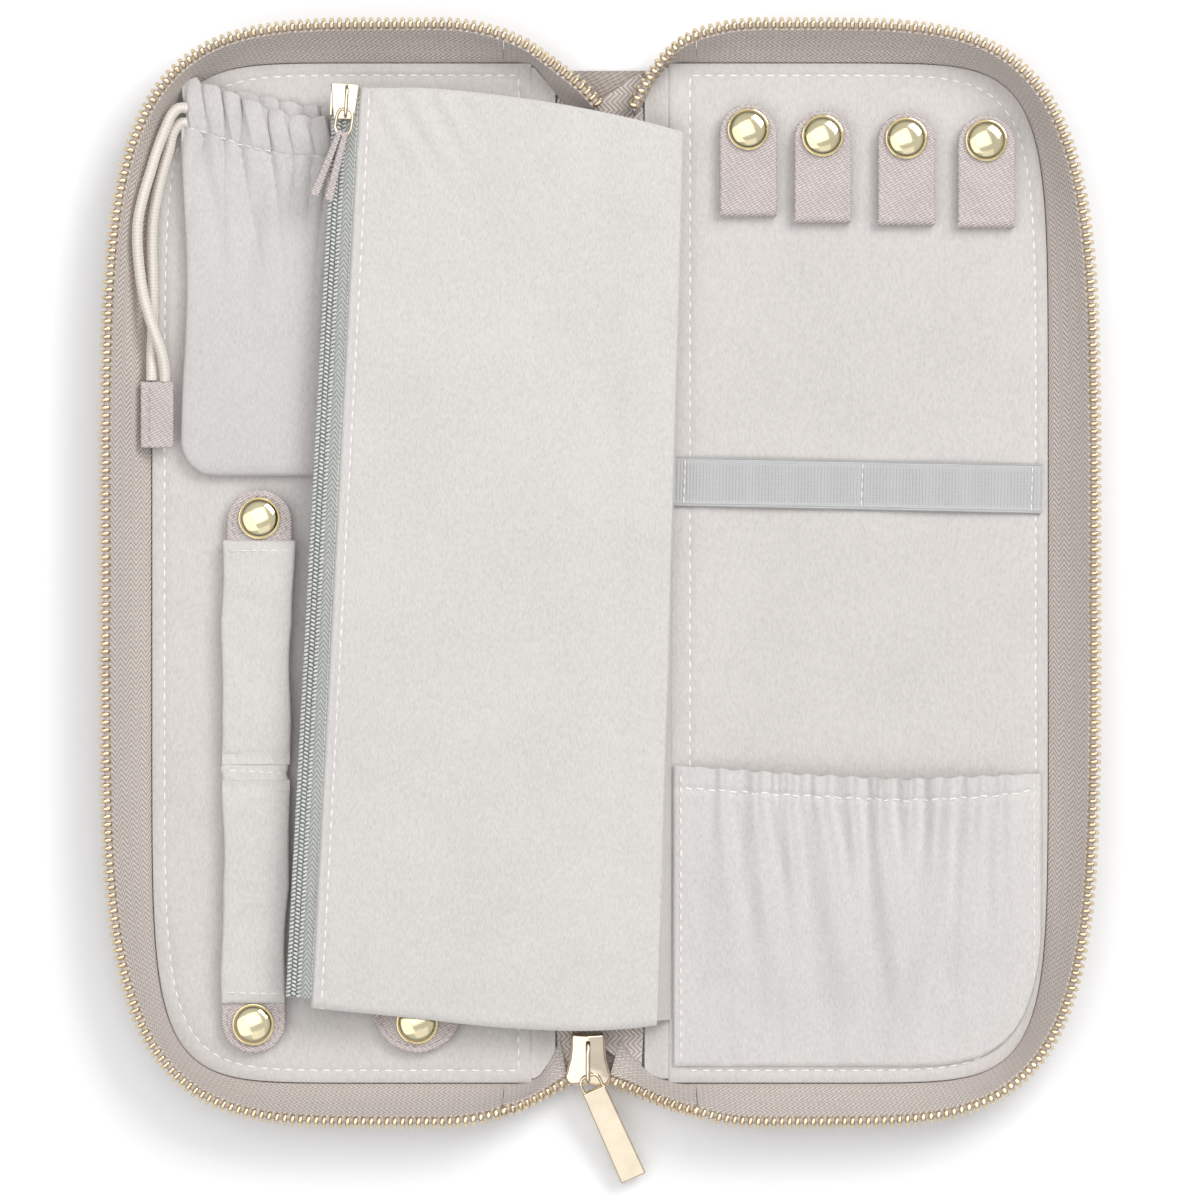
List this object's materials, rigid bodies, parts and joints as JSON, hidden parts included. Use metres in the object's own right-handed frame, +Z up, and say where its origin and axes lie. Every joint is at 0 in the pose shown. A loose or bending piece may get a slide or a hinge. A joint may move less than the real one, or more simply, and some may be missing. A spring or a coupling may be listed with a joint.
{
  "type": "jewelry box",
  "caption": "Zip-around travel jewelry case lying open: two lined leather halves on a folding spine, with straps, elastic, pockets, a zipped page and a drawstring pouch.",
  "frame": {"origin": "centre of the spine's underside, on the surface that the open case lies on", "axes": "+X across the open case towards the half with the necklace straps, +Y along the height towards those straps, +Z up out of the linings"},
  "size_m": [0.2496, 0.2913, 0.0189],
  "materials": {
    "shell_leather": "fine cross-grain, matt, warm grey",
    "board": "plain grey-brown board, hidden",
    "lining_fabric": "smooth brushed microfibre, pale warm grey",
    "zip_tape": "herringbone weave, pinkish taupe",
    "gold_teeth": "pale gold plated, polished",
    "gold_metal": "pale gold plated, polished",
    "strap_leather": "fine cross-grain, matt, pinkish taupe",
    "elastic": "ribbed woven elastic, grey",
    "pocket_fabric": "smooth brushed microfibre, gathered",
    "page_fabric": "smooth brushed microfibre, pale warm grey",
    "coil_zip": "nylon coil on woven tape, silver grey",
    "pouch_fabric": "smooth brushed microfibre, pale pinkish grey",
    "cord": "braided cord, off-white"
  },
  "bodies": {
    "right_half": {"right_shell": "shell_leather", "right_board": "board", "right_lining": "lining_fabric", "right_zip_tape": "zip_tape", "right_zip_chain": "gold_teeth", "elastic_band": "elastic", "gathered_pocket": "pocket_fabric", "page_hem": "lining_fabric", "necklace_strap_back_1": "strap_leather", "necklace_strap_back_2": "strap_leather", "necklace_strap_back_3": "strap_leather", "necklace_strap_back_4": "strap_leather", "necklace_snap_stud_1": "gold_metal", "necklace_snap_stud_2": "gold_metal", "necklace_snap_stud_3": "gold_metal", "necklace_snap_stud_4": "gold_metal"},
    "spine": {"spine_cover": "shell_leather", "spine_lining": "lining_fabric", "spine_top_gusset": "zip_tape", "spine_bottom_gusset": "zip_tape", "main_slider": "gold_metal", "page_neck": "page_fabric"},
    "left_half": {"left_shell": "shell_leather", "left_board": "board", "left_lining": "lining_fabric", "left_zip_tape": "zip_tape", "left_zip_chain": "gold_teeth", "ring_strap_anchor": "page_fabric", "ring_snap_stud_upper": "gold_metal", "ring_snap_stud_lower": "gold_metal", "bracelet_snap_stud": "gold_metal", "pouch_body": "pouch_fabric", "pouch_frill": "pouch_fabric", "cord_end_tab": "strap_leather", "drawstring_outer": "cord", "drawstring_inner": "cord"},
    "main_pull": {"main_pull": "gold_metal"},
    "ring_strap_upper": {"ring_strap_upper": "page_fabric", "ring_tab_upper": "strap_leather", "ring_snap_cap_upper": "gold_metal"},
    "ring_strap_lower": {"ring_strap_lower": "page_fabric", "ring_tab_lower": "strap_leather", "ring_snap_cap_lower": "gold_metal"},
    "bracelet_strap": {"bracelet_strap": "page_fabric", "bracelet_tab": "strap_leather", "bracelet_snap_cap": "gold_metal"},
    "page": {"page_front": "page_fabric", "page_back": "page_fabric", "page_zip": "coil_zip"},
    "page_slider": {"page_slider": "gold_metal"},
    "page_puller": {"page_pull_loop": "gold_metal", "page_pull_thong": "strap_leather"},
    "necklace_flap_1": {"necklace_strap_flap_1": "strap_leather", "necklace_snap_cap_1": "gold_metal"},
    "necklace_flap_2": {"necklace_strap_flap_2": "strap_leather", "necklace_snap_cap_2": "gold_metal"},
    "necklace_flap_3": {"necklace_strap_flap_3": "strap_leather", "necklace_snap_cap_3": "gold_metal"},
    "necklace_flap_4": {"necklace_strap_flap_4": "strap_leather", "necklace_snap_cap_4": "gold_metal"}
  },
  "joints": [
    {"name": "spine_fold", "type": "hinge", "parent": "right_half", "child": "spine", "pos_m": [0.015, 0, 0.00135], "axis": [0, 1, 0], "range_deg": [0, 90]},
    {"name": "cover_fold", "type": "hinge", "parent": "spine", "child": "left_half", "pos_m": [-0.015, 0, 0.00135], "axis": [0, 1, 0], "range_deg": [0, 90]},
    {"name": "page_turn", "type": "hinge", "parent": "left_half", "child": "page", "pos_m": [0.0174, 0, 0.01], "axis": [0, -1, 0], "range_deg": [-158, 0]},
    {"name": "page_slider_slide", "type": "slide", "parent": "page", "child": "page_slider", "axis": [0.0523, 0.9986, -0.0027], "range_m": [-0.212, 0]},
    {"name": "page_puller_swing", "type": "hinge", "parent": "page_slider", "child": "page_puller", "pos_m": [-0.06325, 0.11505, 0.01753], "axis": [0.9863, -0.1564, -0.0517], "range_deg": [-120, 0]},
    {"name": "main_pull_swing", "type": "hinge", "parent": "spine", "child": "main_pull", "pos_m": [-0.003, -0.126, 0.0087], "axis": [0.9135, 0.4067, 0], "range_deg": [-120, 0]},
    {"name": "ring_strap_upper_open", "type": "hinge", "parent": "left_half", "child": "ring_strap_upper", "pos_m": [-0.0852, -0.0461, 0.009], "axis": [-1, 0, 0], "range_deg": [-80, 0]},
    {"name": "ring_strap_lower_open", "type": "hinge", "parent": "left_half", "child": "ring_strap_lower", "pos_m": [-0.0867, -0.0535, 0.009], "axis": [1, 0, 0], "range_deg": [-80, 0]},
    {"name": "bracelet_strap_open", "type": "hinge", "parent": "left_half", "child": "bracelet_strap", "pos_m": [-0.0457, 0.0153, 0.009], "axis": [1, 0, 0], "range_deg": [-56, 0]},
    {"name": "necklace_flap_1_open", "type": "hinge", "parent": "right_half", "child": "necklace_flap_1", "pos_m": [0.0371, 0.09, 0.0062], "axis": [-1, 0, 0], "range_deg": [-170, 0]},
    {"name": "necklace_flap_2_open", "type": "hinge", "parent": "right_half", "child": "necklace_flap_2", "pos_m": [0.0557, 0.0884, 0.0062], "axis": [-1, 0, 0], "range_deg": [-170, 0]},
    {"name": "necklace_flap_3_open", "type": "hinge", "parent": "right_half", "child": "necklace_flap_3", "pos_m": [0.0766, 0.0878, 0.0062], "axis": [-1, 0, 0], "range_deg": [-170, 0]},
    {"name": "necklace_flap_4_open", "type": "hinge", "parent": "right_half", "child": "necklace_flap_4", "pos_m": [0.0966, 0.0872, 0.0062], "axis": [-1, 0, 0], "range_deg": [-170, 0]}
  ],
  "couplings": [
    {"joint": "cover_fold", "follows": "spine_fold", "ratio": 1},
    {"joint": "bracelet_strap_open", "follows": "page_turn", "ratio": 0.35}
  ]
}
